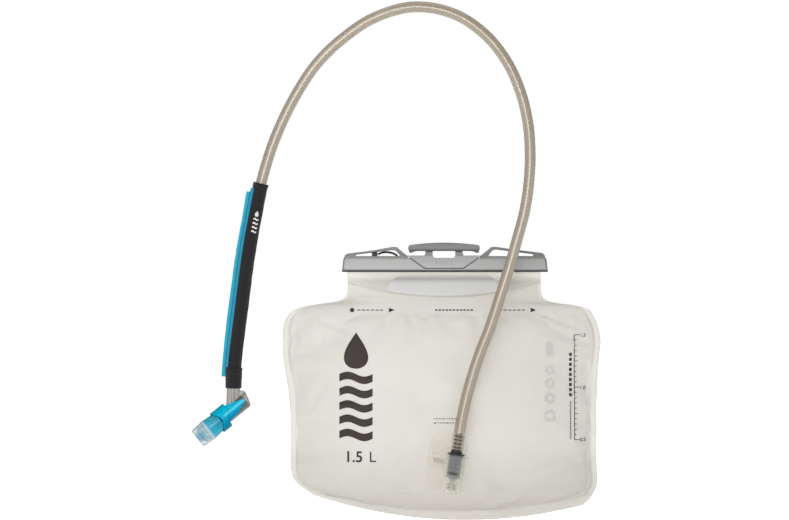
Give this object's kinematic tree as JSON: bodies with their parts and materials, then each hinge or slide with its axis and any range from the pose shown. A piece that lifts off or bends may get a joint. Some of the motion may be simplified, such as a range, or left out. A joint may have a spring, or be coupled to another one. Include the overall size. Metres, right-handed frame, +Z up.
{
  "type": "hydration bladder",
  "caption": "Hanging slide-top water bladder: welded film pouch, grey closing rail with hanger, quick-release port, long drinking hose and twist shut-off bite valve.",
  "frame": {"origin": "centre of the upper face of the hanger's window, the face that the bladder hangs by; it lies in the weld plane of the pouch", "axes": "+Z up as it hangs, +X to the right seen from the front, -Y towards the front, where the port and the hose are"},
  "size_m": [0.3565, 0.0687, 0.4506],
  "materials": {
    "film_tpu": "milky translucent polyurethane film, satin",
    "rail_plastic": "moulded nylon, fine texture",
    "hook_plastic": "moulded nylon, fine texture",
    "clear_plastic": "clear moulded plastic",
    "plug_plastic": "dark moulded plastic",
    "black_rubber": "black nitrile rubber",
    "spring_steel": "drawn stainless wire",
    "tube_tpu": "clear warm-tinted hose",
    "sleeve_fabric": "black knitted neoprene",
    "trim_fabric": "blue woven binding",
    "elbow_plastic": "smoky translucent plastic",
    "blue_plastic": "bright blue moulded plastic",
    "silicone": "clear bluish silicone"
  },
  "bodies": {
    "slider": {"slide_rail": "rail_plastic", "hanger_hook": "hook_plastic", "tether_crimp": "black_rubber", "tether_cord": "black_rubber"},
    "reservoir": {"front_film": "film_tpu", "back_film": "film_tpu", "seal_bead": "film_tpu", "mouth_tab": "clear_plastic", "tether_anchor": "film_tpu", "port_body": "clear_plastic", "valve_cap": "clear_plastic", "poppet_spring": "spring_steel", "latch_spring": "spring_steel"},
    "poppet": {"check_poppet": "black_rubber"},
    "latch": {"release_latch": "clear_plastic"},
    "plug_seals": {"plug_oring_lower": "black_rubber", "plug_oring_upper": "black_rubber"},
    "hose": {"plug_body": "plug_plastic", "drinking_tube": "tube_tpu", "tube_sleeve": "sleeve_fabric", "sleeve_cuff": "sleeve_fabric", "sleeve_trim": "trim_fabric", "valve_elbow": "elbow_plastic"},
    "shutoff": {"shutoff_core": "blue_plastic", "core_oring": "black_rubber", "bite_mouthpiece": "silicone"}
  },
  "joints": [
    {"name": "slider_slide", "type": "slide", "parent": "slider", "child": "reservoir", "axis": [1, 0, 0], "range_m": [0, 0.175], "deforming": ["tether_cord"]},
    {"name": "latch_press", "type": "slide", "parent": "reservoir", "child": "latch", "axis": [0.9886, 0, -0.1507], "range_m": [0, 0.0018], "stiffness_N_per_m": 400, "springref_m": -0.002, "deforming": ["latch_spring"]},
    {"name": "hose_unplug", "type": "slide", "parent": "reservoir", "child": "plug_seals", "axis": [0.1507, 0, 0.9886], "range_m": [0, 0.03]},
    {"name": "poppet_close", "type": "slide", "parent": "reservoir", "child": "poppet", "axis": [0.1507, 0, 0.9886], "range_m": [0, 0.003], "deforming": ["poppet_spring"]},
    {"name": "hose_swivel", "type": "hinge", "parent": "plug_seals", "child": "hose", "pos_m": [0.00675, -0.0316, -0.1966], "axis": [0.1507, 0, 0.9886], "range_deg": [-170, 45]},
    {"name": "shutoff_twist", "type": "hinge", "parent": "hose", "child": "shutoff", "pos_m": [-0.1928, -0.032, -0.1456], "axis": [0.7724, 0.1219, 0.6233], "range_deg": [0, 90]}
  ],
  "couplings": [
    {"joint": "poppet_close", "follows": "hose_unplug", "ratio": 0.1}
  ]
}
